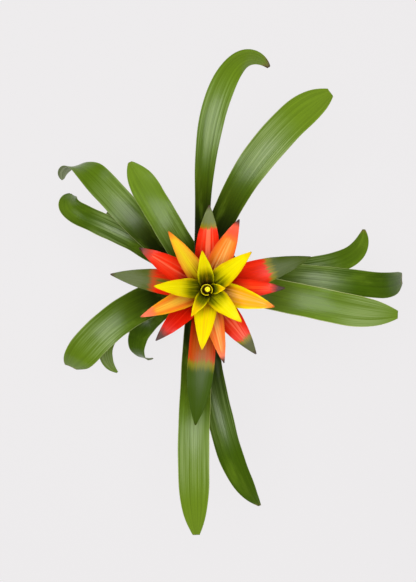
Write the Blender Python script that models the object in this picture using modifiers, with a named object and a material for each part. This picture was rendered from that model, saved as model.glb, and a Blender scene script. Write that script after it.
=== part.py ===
"""Potted guzmania, a bromeliad: a rosette of strap leaves round one stem, a star of coloured bracts
at its head, and the grower's pot that it stands in. Metres, +Z up, with the origin at the middle of
the pot's base, on the surface that the pot stands on."""

import math
from dataclasses import dataclass

import bmesh
import bpy
from mathutils import Vector

# Pot
POT_HEIGHT = 0.100
POT_RIM_RADIUS = 0.055
POT_BASE_RADIUS = 0.039
POT_WALL = 0.0016
POT_FLOOR = 0.0025
RIM_BAND = 0.013
RIM_STEP = 0.0022
RIM_EDGE = 0.0006
FOOT_HEIGHT = 0.0025
FOOT_WIDTH = 0.005
CENTRE_PAD_RADIUS = 0.013
DRAIN_COUNT = 6
DRAIN_RADIUS = 0.0042
NOTCH_WIDTH = 0.007

# Potting mix
SOIL_BELOW_RIM = 0.012
SOIL_DOME = 0.003
FIT_GAP = 0.0004

# Stem: a short stout crown that carries the leaves, then the slim flower stalk
CROWN_RADIUS = 0.0235
CROWN_HEIGHT = 0.042
CROWN_SUNK = 0.016
NECK_RADIUS = 0.0058
HEAD_RADIUS = 0.0044
TIP_RADIUS = 0.0020
STALK_HEIGHT = 0.288
LEAN = Vector((0.0080, -0.0087, 0.0))

# Blades
LEAF_THICKNESS = 0.0006
BRACT_THICKNESS = 0.0005
LEAF_ROWS = 18
BRACT_ROWS = 10
BLADE_COLUMNS = 4
SPINE_STEPS = 12
LEAF_TAPER = 0.75
WAIST_TOP = 0.72
BRACT_TAPER = 0.45
ROLL_START = 0.66
MOST_WRAP = math.radians(72)

SOIL_TOP = POT_HEIGHT - SOIL_BELOW_RIM
CROWN_TOP = SOIL_TOP + CROWN_HEIGHT
STEM_TOP = SOIL_TOP + STALK_HEIGHT


@dataclass
class Blade:
    """One leaf or bract. Heading is its compass direction seen from above and pitch its climb above
    level, both in degrees at even steps from foot to tip. Reach is how far out the tip is. Late
    moves the start of its taper towards the tip, skew leans the tip to its left, roll twists it, and
    waist is how much narrower it is below the arch."""

    name: str
    reach: float
    half_width: float
    heading: tuple
    pitch: tuple
    channel: float = 20.0
    late: float = 0.0
    tip: float = 0.14
    skew: float = 0.0
    roll: float = 0.0
    waist: float = 0.0


# Rosette leaves, from the innermost, which sits highest on the crown, to the outermost
LEAVES = (
    Blade("leaf_south", 0.284, 0.0175, (-91, -93, -93, -90, -87), (82, 56, 24, -4, -30), tip=0.22),
    Blade(
        "leaf_north", 0.259, 0.0146, (89, 89, 88, 86, 76, 52, -34), (81, 54, 22, -5, -58),
        late=-0.10, roll=40, waist=0.40,
    ),
    Blade(
        "leaf_inner_east", 0.231, 0.0188, (-6, -9, -12, -11, -2), (80, 56, 18, -2, -14),
        late=0.0, tip=0.24,
    ),
    Blade(
        "leaf_north_east", 0.267, 0.0196, (74, 71, 60, 47, 37), (79, 52, 20, -5, -28),
        late=0.05, tip=0.28, skew=-0.10, waist=0.24,
    ),
    Blade(
        "leaf_north_west_inner", 0.169, 0.0178, (120, 120, 121, 120, 116), (79, 59, 14, -8, -20),
        skew=0.15,
    ),
    Blade(
        "leaf_west", 0.186, 0.0203, (197, 199, 210, 226, 240), (77, 54, 20, -6, -60),
        late=0.02, tip=0.38, skew=-0.25,
    ),
    Blade(
        "leaf_south_east", 0.275, 0.0155, (-86, -84, -79, -72, -58), (76, 48, 18, -8, -36), 34,
        late=-0.07, skew=0.25,
    ),
    Blade(
        "leaf_north_west", 0.216, 0.0178, (137, 137, 136, 133, 149, 252), (75, 49, 18, -3, -24, -66),
        late=-0.04, roll=120,
    ),
    Blade(
        "leaf_east", 0.247, 0.0156, (7, 5, -4, -6, 8), (75, 48, 14, -14, -60),
        late=0.08, tip=0.42, skew=0.45,
    ),
    Blade(
        "leaf_west_north_west", 0.199, 0.0155, (146, 147, 150, 154, 150, 76),
        (73, 45, 19, 0, -20, -60), 48, late=0.06,
    ),
    Blade(
        "leaf_south_west", 0.118, 0.0140, (211, 213, 220, 238, 286, 372), (72, 53, 22, -12, -38, -60),
        24, late=-0.35, roll=100,
    ),
    Blade("leaf_east_north_east", 0.213, 0.0128, (8, 8, 8, 18, 84), (71, 43, 12, -12, -34)),
    Blade("leaf_low_north_west", 0.152, 0.0140, (142, 142, 143, 145, 148), (70, 38, 4, -24, -50)),
    Blade(
        "leaf_low_west", 0.162, 0.0100, (210, 209, 209, 216, 270, 318), (68, 38, 4, -16, -30, -46),
        late=-0.1,
    ),
)

# Bracts of the star, from the innermost down. Each stands about a golden angle from the last.
BRACTS = (
    Blade("bract_01", 0.0175, 0.0060, (3, 3, 3), (85, 72, 20)),
    Blade("bract_02", 0.0306, 0.0070, (241, 239, 238), (84, 66, 26)),
    Blade("bract_03", 0.0370, 0.0085, (98, 98, 98), (84, 64, 28)),
    Blade("bract_04", 0.0453, 0.0105, (-44, -44, -44), (83, 60, 26)),
    Blade("bract_05", 0.0513, 0.0100, (177, 177, 177), (82, 56, 24)),
    Blade("bract_06", 0.0555, 0.0110, (40, 40, 40), (81, 52, 22)),
    Blade("bract_07", 0.0593, 0.0115, (-95, -95, -95), (80, 48, 18)),
    Blade("bract_08", 0.0675, 0.0100, (124, 124, 124), (79, 44, 16)),
    Blade("bract_09", 0.0685, 0.0120, (-15, -15, -15), (78, 42, 12)),
    Blade("bract_10", 0.0713, 0.0100, (203, 203, 203), (77, 40, 12)),
    Blade("bract_11", 0.0757, 0.0125, (65, 65, 65), (76, 38, 10)),
    Blade("bract_12", 0.0765, 0.0100, (-77, -77, -77), (75, 36, 8)),
    Blade("bract_13", 0.0790, 0.0125, (149, 149, 149), (75, 34, 6)),
    Blade("bract_14", 0.0795, 0.0105, (0, 0, 0), (74, 32, 6)),
    Blade("bract_15", 0.0747, 0.0115, (226, 226, 226), (74, 30, 4)),
    Blade("bract_16", 0.0850, 0.0135, (88, 88, 88), (73, 28, 2)),
    Blade("bract_17", 0.0854, 0.0135, (-53, -53, -53), (73, 26, 0)),
    Blade("bract_18", 0.1000, 0.0135, (172, 172, 172), (72, 22, -4)),
    Blade("bract_19", 0.1135, 0.0145, (16, 16, 17), (71, 18, -8)),
    Blade("bract_20", 0.1440, 0.0143, (-93, -94, -96), (70, 12, -12), late=0.17),
)
HEAD_TOP = STEM_TOP - 0.010
BRACT_SPACING = 0.0042

# Heart of the star: the youngest bract, still rolled in a ring, round the bud
HEART_RADIUS = 0.0058
HEART_TURN = math.radians(330)
HEART_TOP = STEM_TOP + 0.015
BUD_RADIUS = 0.0027
HEART_OFFSET = Vector((-0.0010, -0.0008, 0.0))

# Clasping bracts up the flower stalk, from the top one down
STALK_BRACTS = (
    Blade("stalk_bract_1", 0.020, 0.0100, (45, 45, 45), (84, 78, 70)),
    Blade("stalk_bract_2", 0.023, 0.0105, (-92, -92, -92), (84, 78, 68)),
    Blade("stalk_bract_3", 0.026, 0.0110, (130, 130, 130), (84, 78, 66)),
    Blade("stalk_bract_4", 0.029, 0.0115, (-8, -8, -8), (84, 78, 64)),
)
STALK_TOP_BRACT = STEM_TOP - 0.140
STALK_SPACING = 0.027


def smooth(share):
    """0 to 1 with a gentle start and stop."""
    share = min(max(share, 0.0), 1.0)
    return share * share * (3 - 2 * share)


def along(knots, share):
    """The value at a share of the way, on a smooth curve through knots at even steps."""
    place = share * (len(knots) - 1)
    index = min(int(place), len(knots) - 2)
    part = place - index
    start, end = knots[index], knots[index + 1]
    before = knots[max(index - 1, 0)]
    after = knots[min(index + 2, len(knots) - 1)]
    square = 2 * before - 5 * start + 4 * end - after
    cube = 3 * (start - end) + after - before
    return start + part / 2 * (end - before + part * (square + part * cube))


def stem_axis(height):
    """Where the stem's middle is at a height: upright in the crown, then leaning a little."""
    climb = (height - SOIL_TOP) / (STEM_TOP - SOIL_TOP)
    return LEAN * smooth(climb) + Vector((0, 0, height))


STEM_STATIONS = (
    (SOIL_TOP - CROWN_SUNK, CROWN_RADIUS * 0.8),
    (SOIL_TOP - CROWN_SUNK / 2, CROWN_RADIUS),
    (SOIL_TOP, CROWN_RADIUS),
    (SOIL_TOP + CROWN_HEIGHT / 2, (CROWN_RADIUS + NECK_RADIUS) / 2),
    (CROWN_TOP, NECK_RADIUS),
    (CROWN_TOP + 0.06, HEAD_RADIUS * 1.1),
    (CROWN_TOP + 0.12, HEAD_RADIUS),
    (HEAD_TOP - 20 * BRACT_SPACING, HEAD_RADIUS),
    (HEAD_TOP - 10 * BRACT_SPACING, HEAD_RADIUS),
    (HEAD_TOP, HEAD_RADIUS * 0.9),
    (STEM_TOP, TIP_RADIUS),
)


def stem_radius(height):
    """The stem's radius at a height, where a blade is attached."""
    for (low, wide), (high, narrow) in zip(STEM_STATIONS, STEM_STATIONS[1:]):
        if low <= height <= high:
            return wide + (narrow - wide) * (height - low) / (high - low)
    return TIP_RADIUS


def seat_radius(height, thickness):
    """How far from the stem's middle a blade starts, so that the flats of its sheath clear the stem."""
    clear = stem_radius(height) + FIT_GAP + thickness / 2
    return clear / math.cos(MOST_WRAP / BLADE_COLUMNS)


def past(start, share):
    """How far a share is past the start of the taper: 0 before it, 1 at the tip."""
    return max(0.0, (share - start) / (1 - start))


def leaf_outline(blade, share):
    """A strap leaf's half width, as a share of its widest: a sheath, a long strap, a blunt point. With
    it comes how far the row stands to the left, in the same unit."""
    tapered = past(LEAF_TAPER + blade.late, share)
    wide = 1 + 0.35 * (1 - smooth(share / 0.2)) - (1 - blade.tip) * tapered**2.6
    wide -= blade.waist * (1 - smooth((share - WAIST_TOP + 0.35) / 0.35))
    return wide, blade.skew * tapered**2


def bract_outline(blade, share):
    """A bract's half width, as a share of its widest: it swells to its taper, then runs to a point."""
    start = BRACT_TAPER + blade.late
    return 0.82 + 0.18 * smooth(share / start) - 0.95 * past(start, share) ** 1.9, 0.0


def row_share(row, rows):
    """How far along the blade a row lies. Rows stand closer together towards the tip."""
    return 1 - (1 - row / rows) ** 1.3


def spine_of(blade, foot, foot_radius, rows):
    """Each row's point on the blade's middle line, and its heading and pitch there."""
    fine = rows * SPINE_STEPS
    shares = [row_share(step / SPINE_STEPS, rows) for step in range(fine + 1)]
    headings = [math.radians(along(blade.heading, share)) for share in shares]
    pitches = [math.radians(along(blade.pitch, share)) for share in shares]
    moves = []
    for step in range(fine):
        heading = (headings[step] + headings[step + 1]) / 2
        pitch = (pitches[step] + pitches[step + 1]) / 2
        level = math.cos(pitch)
        ahead = Vector((level * math.cos(heading), level * math.sin(heading), math.sin(pitch)))
        moves.append(ahead * (shares[step + 1] - shares[step]))
    run = sum(moves, Vector()).to_2d().length
    length = (blade.reach - foot_radius) / run
    outward = Vector((math.cos(headings[0]), math.sin(headings[0]), 0))
    point = foot + foot_radius * outward
    spine = [(point.copy(), headings[0], pitches[0])]
    for step in range(fine):
        point += moves[step] * length
        if (step + 1) % SPINE_STEPS == 0:
            spine.append((point.copy(), headings[step + 1], pitches[step + 1]))
    return spine


def blade_mesh(blade, foot, foot_radius, outline, rows):
    """A flat grid laid along the blade's spine. Across it, each row is an arc that wraps the stem near
    the foot and keeps a shallow channel further out."""
    grid = bmesh.new()
    bmesh.ops.create_grid(grid, x_segments=rows, y_segments=BLADE_COLUMNS, size=0.5)
    spine = spine_of(blade, foot, foot_radius, rows)
    for vertex in grid.verts:
        row = round((vertex.co.x + 0.5) * rows)
        across = vertex.co.y * 2
        share = row_share(row, rows)
        point, heading, pitch = spine[row]
        wide, left = outline(blade, share)
        half = blade.half_width * wide
        from_stem = (point - stem_axis(point.z)).to_2d().length
        wrap = math.sin(pitch) / from_stem
        if pitch > 0:
            half = min(half, MOST_WRAP / wrap)
        bend = max(wrap, math.radians(blade.channel) / blade.half_width)
        side = Vector((-math.sin(heading), math.cos(heading), 0))
        up = Vector(
            (
                -math.sin(pitch) * math.cos(heading),
                -math.sin(pitch) * math.sin(heading),
                math.cos(pitch),
            )
        )
        angle = (across * half + left * blade.half_width) * bend
        roll = math.radians(blade.roll) * smooth(past(ROLL_START, share))
        turned_side = side * math.cos(roll) + up * math.sin(roll)
        turned_up = up * math.cos(roll) - side * math.sin(roll)
        vertex.co = (
            point
            + turned_side * math.sin(angle) / bend
            + turned_up * (1 - math.cos(angle)) / bend
        )
    mesh = bpy.data.meshes.new(blade.name)
    grid.to_mesh(mesh)
    grid.free()
    return mesh


def finish(name, collection, name_of_material, data):
    made = bpy.data.objects.new(name, data)
    collection.objects.link(made)
    made.data.materials.append(bpy.data.materials[name_of_material])
    return made


def blade_object(collection, blade, height, radius, thickness, outline, rows, material):
    mesh = blade_mesh(blade, stem_axis(height), radius, outline, rows)
    made = finish(blade.name, collection, material, mesh)
    mesh.shade_smooth()
    shell = made.modifiers.new("Thickness", "SOLIDIFY")
    shell.thickness = thickness
    shell.offset = 0
    return made


def add_material(name, colour, roughness):
    made = bpy.data.materials.new(name)
    made.use_nodes = True
    shader = made.node_tree.nodes["Principled BSDF"]
    shader.inputs["Base Color"].default_value = (*colour, 1)
    shader.inputs["Roughness"].default_value = roughness
    shader.inputs["Metallic"].default_value = 0


def turned(name, collection, material, profile, steps):
    """A shape of revolution from its profile, which runs from the axis, over the top and down outside."""
    mesh = bpy.data.meshes.new(name)
    corners = [(radius, 0, height) for radius, height in profile]
    mesh.from_pydata(corners, [(i, i + 1) for i in range(len(corners) - 1)], [])
    made = finish(name, collection, material, mesh)
    screw = made.modifiers.new("Turn", "SCREW")
    screw.steps = screw.render_steps = steps
    screw.use_merge_vertices = True
    screw.merge_threshold = 0.00005
    screw.use_smooth_shade = True
    return made


def pot_inner_radius(height):
    """The pot's inside radius at a height below the rim band."""
    climb = height / (POT_HEIGHT - RIM_BAND)
    slope = POT_RIM_RADIUS - RIM_STEP - POT_BASE_RADIUS
    return POT_BASE_RADIUS + slope * climb - POT_WALL


def add_pot(collection, helpers):
    band_foot = POT_HEIGHT - RIM_BAND
    shoulder = POT_RIM_RADIUS - RIM_STEP
    inside_floor = FOOT_HEIGHT + POT_FLOOR
    profile = [
        (0, inside_floor),
        (pot_inner_radius(inside_floor) - POT_WALL, inside_floor),
        (pot_inner_radius(inside_floor), inside_floor + POT_WALL),
        (shoulder - POT_WALL, band_foot + POT_WALL),
        (POT_RIM_RADIUS - POT_WALL, band_foot + 2 * POT_WALL),
        (POT_RIM_RADIUS - POT_WALL, POT_HEIGHT - RIM_EDGE),
        (POT_RIM_RADIUS - POT_WALL + RIM_EDGE, POT_HEIGHT),
        (POT_RIM_RADIUS, POT_HEIGHT),
        (POT_RIM_RADIUS + RIM_EDGE, POT_HEIGHT - RIM_EDGE),
        (POT_RIM_RADIUS, band_foot),
        (shoulder, band_foot),
        (POT_BASE_RADIUS + RIM_EDGE, RIM_EDGE),
        (POT_BASE_RADIUS, 0),
        (POT_BASE_RADIUS - FOOT_WIDTH, 0),
        (POT_BASE_RADIUS - FOOT_WIDTH, FOOT_HEIGHT),
        (CENTRE_PAD_RADIUS, FOOT_HEIGHT),
        (CENTRE_PAD_RADIUS, 0),
        (0, 0),
    ]
    pot = turned("pot", collection, "pot_plastic", profile, 48)
    drain_circle = (CENTRE_PAD_RADIUS + POT_BASE_RADIUS - FOOT_WIDTH) / 2
    for index in range(DRAIN_COUNT):
        angle = 2 * math.pi * index / DRAIN_COUNT
        outward = Vector((math.cos(angle), math.sin(angle), 0))
        drain = bmesh.new()
        bmesh.ops.create_cone(
            drain,
            cap_ends=True,
            segments=16,
            radius1=DRAIN_RADIUS,
            radius2=DRAIN_RADIUS,
            depth=4 * POT_FLOOR,
        )
        cut_from(pot, helpers, drain, outward * drain_circle + Vector((0, 0, inside_floor)), angle)
        notch = bmesh.new()
        bmesh.ops.create_cube(notch, size=1)
        bmesh.ops.scale(notch, verts=notch.verts, vec=(4 * FOOT_WIDTH, NOTCH_WIDTH, FOOT_HEIGHT))
        middle = outward * (POT_BASE_RADIUS - FOOT_WIDTH / 2)
        cut_from(pot, helpers, notch, middle - Vector((0, 0, FOOT_HEIGHT * 0.1)), angle)
    return pot


def cut_from(target, helpers, shape, place, angle):
    mesh = bpy.data.meshes.new("cutter")
    shape.to_mesh(mesh)
    shape.free()
    cutter = bpy.data.objects.new("cutter", mesh)
    helpers.objects.link(cutter)
    cutter.location = place
    cutter.rotation_euler.z = angle
    cutter.hide_render = True
    cutter.display_type = "WIRE"
    cut = target.modifiers.new("Cut", "BOOLEAN")
    cut.operation = "DIFFERENCE"
    cut.object = cutter


def add_soil(collection):
    floor = FOOT_HEIGHT + POT_FLOOR + FIT_GAP
    edge_height = SOIL_TOP - SOIL_DOME
    socket = CROWN_RADIUS + FIT_GAP
    profile = [
        (0, SOIL_TOP - CROWN_SUNK - FIT_GAP),
        (socket, SOIL_TOP - CROWN_SUNK - FIT_GAP),
        (socket, SOIL_TOP),
        ((socket + pot_inner_radius(edge_height)) / 2, SOIL_TOP - SOIL_DOME * 0.3),
        (pot_inner_radius(edge_height) - 4 * FIT_GAP, edge_height),
        (pot_inner_radius(floor) - POT_WALL - 2 * FIT_GAP, floor + POT_WALL / 2),
        (pot_inner_radius(floor) - 2 * POT_WALL - 2 * FIT_GAP, floor),
        (0, floor),
    ]
    return turned("potting_mix", collection, "potting_mix", profile, 36)


def add_stem(collection):
    """Crown and flower stalk, which grow as one piece."""
    curve = bpy.data.curves.new("stem", "CURVE")
    curve.dimensions = "3D"
    curve.bevel_depth = 1.0
    curve.bevel_resolution = 6
    curve.use_fill_caps = True
    spline = curve.splines.new("POLY")
    spline.points.add(len(STEM_STATIONS) - 1)
    for point, (height, radius) in zip(spline.points, STEM_STATIONS):
        point.co = (*stem_axis(height), 1)
        point.radius = radius
    return finish("stem", collection, "stem_green", curve)


def add_heart(collection):
    """The rolled bract and the bud inside it."""
    foot = stem_axis(STEM_TOP)
    mesh = bpy.data.meshes.new("heart_bract")
    base = STEM_TOP + FIT_GAP
    middle = (HEART_TOP + base) / 2
    profile = [(HEART_RADIUS, HEART_TOP), (HEART_RADIUS * 0.88, middle), (HEART_RADIUS * 0.72, base)]
    corners = [(radius, 0, height) for radius, height in profile]
    mesh.from_pydata(corners, [(0, 1), (1, 2)], [])
    heart = finish("heart_bract", collection, "bract_yellow", mesh)
    heart.location = HEART_OFFSET + Vector((foot.x, foot.y, 0))
    heart.rotation_euler.z = math.radians(-35)
    turn = heart.modifiers.new("Turn", "SCREW")
    turn.angle = HEART_TURN
    turn.steps = turn.render_steps = 20
    turn.use_smooth_shade = True
    shell = heart.modifiers.new("Thickness", "SOLIDIFY")
    shell.thickness = BRACT_THICKNESS
    shell.offset = 0
    bud_foot = STEM_TOP + FIT_GAP
    bud_profile = [
        (0, HEART_TOP),
        (BUD_RADIUS * 0.6, HEART_TOP - BUD_RADIUS * 0.2),
        (BUD_RADIUS, HEART_TOP - BUD_RADIUS),
        (BUD_RADIUS * 0.9, bud_foot),
        (0, bud_foot),
    ]
    bud = turned("flower_bud", collection, "bract_yellow", bud_profile, 20)
    bud.location = (foot.x, foot.y, 0)


def clear_scene():
    for left_over in list(bpy.data.objects):
        bpy.data.objects.remove(left_over)


def main():
    clear_scene()
    plant = bpy.data.collections.new("potted_guzmania")
    helpers = bpy.data.collections.new("cutters")
    for group in (plant, helpers):
        bpy.context.scene.collection.children.link(group)
    add_material("pot_plastic", (0.05, 0.052, 0.056), 0.5)
    add_material("potting_mix", (0.05, 0.03, 0.018), 0.95)
    add_material("stem_green", (0.25, 0.33, 0.10), 0.5)
    add_material("leaf_green", (0.10, 0.20, 0.03), 0.35)
    add_material("bract_yellow", (0.85, 0.70, 0.02), 0.4)
    add_material("bract_orange", (0.85, 0.30, 0.03), 0.4)
    add_material("bract_red", (0.80, 0.06, 0.02), 0.4)
    add_pot(plant, helpers)
    add_soil(plant)
    add_stem(plant)
    add_heart(plant)
    lowest, highest = SOIL_TOP + 0.001, CROWN_TOP - 0.001
    for index, leaf in enumerate(LEAVES):
        height = highest - (highest - lowest) * index / (len(LEAVES) - 1)
        radius = seat_radius(height, LEAF_THICKNESS)
        blade_object(
            plant, leaf, height, radius, LEAF_THICKNESS, leaf_outline, LEAF_ROWS, "leaf_green"
        )
    for index, bract in enumerate(BRACTS):
        height = HEAD_TOP - BRACT_SPACING * index
        radius = seat_radius(height, BRACT_THICKNESS)
        colour = "bract_yellow" if index < 8 else "bract_orange" if index < 12 else "bract_red"
        blade_object(
            plant, bract, height, radius, BRACT_THICKNESS, bract_outline, BRACT_ROWS, colour
        )
    for index, bract in enumerate(STALK_BRACTS):
        height = STALK_TOP_BRACT - STALK_SPACING * index
        radius = seat_radius(height, BRACT_THICKNESS)
        blade_object(
            plant, bract, height, radius, BRACT_THICKNESS, bract_outline, BRACT_ROWS, "leaf_green"
        )


main()
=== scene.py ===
import math
from collections import namedtuple

import bmesh
import bpy
from mathutils import Matrix, Vector


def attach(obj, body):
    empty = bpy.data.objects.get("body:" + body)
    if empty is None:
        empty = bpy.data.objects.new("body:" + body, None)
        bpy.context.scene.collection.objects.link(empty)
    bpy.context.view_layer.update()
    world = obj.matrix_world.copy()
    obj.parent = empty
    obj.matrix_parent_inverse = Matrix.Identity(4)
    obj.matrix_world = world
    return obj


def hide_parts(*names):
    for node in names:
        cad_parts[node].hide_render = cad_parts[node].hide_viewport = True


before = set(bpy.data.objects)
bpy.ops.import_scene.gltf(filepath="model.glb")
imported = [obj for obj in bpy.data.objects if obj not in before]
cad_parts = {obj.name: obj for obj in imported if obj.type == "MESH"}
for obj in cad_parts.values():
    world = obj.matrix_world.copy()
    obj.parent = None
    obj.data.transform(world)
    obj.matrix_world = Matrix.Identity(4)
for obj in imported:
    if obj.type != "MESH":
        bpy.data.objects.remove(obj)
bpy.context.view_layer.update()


# Pot: a grower's pot, injection moulded in dark polypropylene, with a rim band to stack by and a foot.
# It is a turned profile. Drain holes go through the base, and notches in the foot let water out.

POT_HEIGHT = 0.100
RIM_RADIUS = 0.055
BASE_RADIUS = 0.039
WALL = 0.0016
BAND_FOOT = 0.087
SHOULDER = 0.0528
FOOT_HEIGHT = 0.0025
FOOT_WIDTH = 0.005
INSIDE_FLOOR = 0.0050
PAD_RADIUS = 0.013
RIM_FLARE = 0.0006
DRAIN_COUNT = 6
DRAIN_RADIUS = 0.0042
NOTCH_LENGTH = 0.020
NOTCH_WIDTH = 0.007
EASED_CORNER = 0.0005
POT_STEPS = 144


def colour(red, green, blue):
    """A screen colour, 0 to 255, as the linear colour that a shader takes."""

    def linear(value):
        value /= 255
        return value / 12.92 if value <= 0.04045 else ((value + 0.055) / 1.055) ** 2.4

    return (linear(red), linear(green), linear(blue), 1.0)


def wire(tree, kind, *values, **settings):
    """Adds a node. Each value goes to the next socket: a socket is joined to it, None skips it."""
    made = tree.nodes.new(kind)
    for key, value in settings.items():
        setattr(made, key, value)
    for socket, value in zip(made.inputs, values):
        if isinstance(value, bpy.types.NodeSocket):
            tree.links.new(value, socket)
        elif value is not None:
            socket.default_value = value
    return made


def maths(tree, operation, *values):
    return wire(tree, "ShaderNodeMath", *values, operation=operation).outputs[0]


def ramp(tree, value, low, high, start=0.0, end=1.0):
    """Runs gently from start to end while value goes from low to high."""
    kind = "ShaderNodeMapRange"
    made = wire(tree, kind, value, low, high, start, end, interpolation_type="SMOOTHSTEP")
    return made.outputs[0]


def paint(tree, mask, under, over, mode="MIX"):
    """Lays the colour over on the colour under, where mask is 1."""
    made = tree.nodes.new("ShaderNodeMix")
    made.data_type = "RGBA"
    made.blend_type = mode
    for index, value in ((0, mask), (6, under), (7, over)):
        if isinstance(value, bpy.types.NodeSocket):
            tree.links.new(value, made.inputs[index])
        else:
            made.inputs[index].default_value = value
    return made.outputs[2]


def noise(tree, place, scale, detail=2.0, roughness=0.5):
    return wire(tree, "ShaderNodeTexNoise", place, None, scale, detail, roughness).outputs[0]


def object_place(tree):
    return wire(tree, "ShaderNodeTexCoord").outputs["Object"]


def height_of(tree, place):
    return wire(tree, "ShaderNodeSeparateXYZ", place).outputs[2]


def new_material(name, roughness=0.5, **sockets):
    """A material with its shader, whose other sockets take the values given."""
    made = bpy.data.materials.new(name)
    made.use_nodes = True
    shader = made.node_tree.nodes["Principled BSDF"]
    shader.inputs["Roughness"].default_value = roughness
    for key, value in sockets.items():
        shader.inputs[key.replace("_", " ").title().replace("Ior", "IOR")].default_value = value
    return made, made.node_tree, shader


def bump(tree, shader, height, strength, distance):
    node = wire(tree, "ShaderNodeBump", strength, distance)
    tree.links.new(height, node.inputs["Height"])
    tree.links.new(node.outputs[0], shader.inputs["Normal"])


def add_piece(name, mesh, material, slot, *nodes):
    """Puts a finished mesh in the scene, in place of CAD nodes."""
    made = bpy.data.objects.new("visual_" + name, mesh)
    bpy.context.scene.collection.objects.link(made)
    if material:
        made.data.materials.append(material)
    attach(made, "root")
    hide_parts(*nodes)
    return made


def finished_mesh(raw):
    """The plain mesh of an object with its modifiers applied, shaded smooth. The object is removed."""
    bpy.context.view_layer.update()
    mesh = bpy.data.meshes.new_from_object(raw.evaluated_get(bpy.context.evaluated_depsgraph_get()))
    bpy.data.objects.remove(raw)
    mesh.shade_smooth()
    return mesh


def eased(profile, radius):
    """The profile with each corner cut by three short steps, so that it catches the light."""
    points = [Vector(point) for point in profile]
    out = [points[0]]
    for before, corner, after in zip(points, points[1:], points[2:]):
        back, ahead = before - corner, after - corner
        reach = min(radius, back.length * 0.4, ahead.length * 0.4)
        start, end = corner + back.normalized() * reach, corner + ahead.normalized() * reach
        for share in (0, 0.33, 0.67, 1):
            rest = 1 - share
            out.append(start * rest * rest + corner * 2 * share * rest + end * share * share)
    return out + [points[-1]]


def turned_mesh(name, profile, steps):
    """The closed mesh of a profile turned about the upright axis."""
    work = bmesh.new()
    rings = []
    for radius, height in profile:
        if radius < 1e-6:
            rings.append([work.verts.new((0, 0, height))])
            continue
        turns = [2 * math.pi * step / steps for step in range(steps)]
        rings.append([work.verts.new((radius * math.cos(t), radius * math.sin(t), height)) for t in turns])
    for upper, lower in zip(rings, rings[1:]):
        for step in range(steps):
            after = (step + 1) % steps
            if len(upper) == 1:
                work.faces.new((upper[0], lower[step], lower[after]))
            elif len(lower) == 1:
                work.faces.new((upper[step], lower[0], upper[after]))
            else:
                work.faces.new((upper[step], lower[step], lower[after], upper[after]))
    bmesh.ops.recalc_face_normals(work, faces=work.faces)
    for face in work.faces:
        face.smooth = True
    mesh = bpy.data.meshes.new(name)
    work.to_mesh(mesh)
    work.free()
    return mesh


def pot_cutters():
    """The drain holes and a notch in the foot beside each, as one mesh."""
    work = bmesh.new()
    hole_circle = (PAD_RADIUS + BASE_RADIUS - FOOT_WIDTH) / 2
    for index in range(DRAIN_COUNT):
        angle = 2 * math.pi / DRAIN_COUNT * index
        outward = Vector((math.cos(angle), math.sin(angle), 0))
        radii = {"radius1": DRAIN_RADIUS, "radius2": DRAIN_RADIUS}
        hole = bmesh.ops.create_cone(work, cap_ends=True, segments=40, depth=2 * INSIDE_FLOOR, **radii)
        in_floor = outward * hole_circle + Vector((0, 0, INSIDE_FLOOR))
        bmesh.ops.translate(work, verts=hole["verts"], vec=in_floor)
        notch = bmesh.ops.create_cube(work, size=1)
        bmesh.ops.scale(work, verts=notch["verts"], vec=(NOTCH_LENGTH, NOTCH_WIDTH, FOOT_HEIGHT))
        in_foot = Vector((BASE_RADIUS - FOOT_WIDTH / 2, 0, -FOOT_HEIGHT * 0.1))
        bmesh.ops.translate(work, verts=notch["verts"], vec=in_foot)
        turned = Matrix.Rotation(angle, 3, "Z")
        bmesh.ops.rotate(work, verts=notch["verts"], cent=(0, 0, 0), matrix=turned)
    mesh = bpy.data.meshes.new("pot_cutters")
    work.to_mesh(mesh)
    work.free()
    return mesh


# Up the inside, over the rim, down the outside with its raised line, and in under the foot to the pad
pot_profile = [
    (0, INSIDE_FLOOR),
    (0.0362, INSIDE_FLOOR),
    (0.0382, INSIDE_FLOOR + WALL),
    (SHOULDER - WALL, BAND_FOOT + WALL),
    (RIM_RADIUS - WALL, BAND_FOOT + 2 * WALL),
    (RIM_RADIUS - WALL, POT_HEIGHT),
    (RIM_RADIUS + RIM_FLARE, POT_HEIGHT),
    (RIM_RADIUS, BAND_FOOT),
    (SHOULDER, BAND_FOOT),
    (0.0508, 0.0740),
    (0.0512, 0.0732),
    (0.0508, 0.0724),
    (0.0396, 0.0006),
    (BASE_RADIUS, 0),
    (BASE_RADIUS - FOOT_WIDTH, 0),
    (BASE_RADIUS - FOOT_WIDTH, FOOT_HEIGHT),
    (PAD_RADIUS, FOOT_HEIGHT),
    (PAD_RADIUS, 0),
    (0, 0),
]
pot_shell = turned_mesh("raw_pot", eased(pot_profile, EASED_CORNER), POT_STEPS)
raw_pot = bpy.data.objects.new("raw_pot", pot_shell)
cutters = bpy.data.objects.new("pot_cutters", pot_cutters())
for helper in (raw_pot, cutters):
    bpy.context.scene.collection.objects.link(helper)
cut = raw_pot.modifiers.new("Drain", "BOOLEAN")
cut.object = cutters
cut.operation = "DIFFERENCE"
cut.solver = "EXACT"
pot_mesh = finished_mesh(raw_pot)
bpy.data.objects.remove(cutters)

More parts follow.
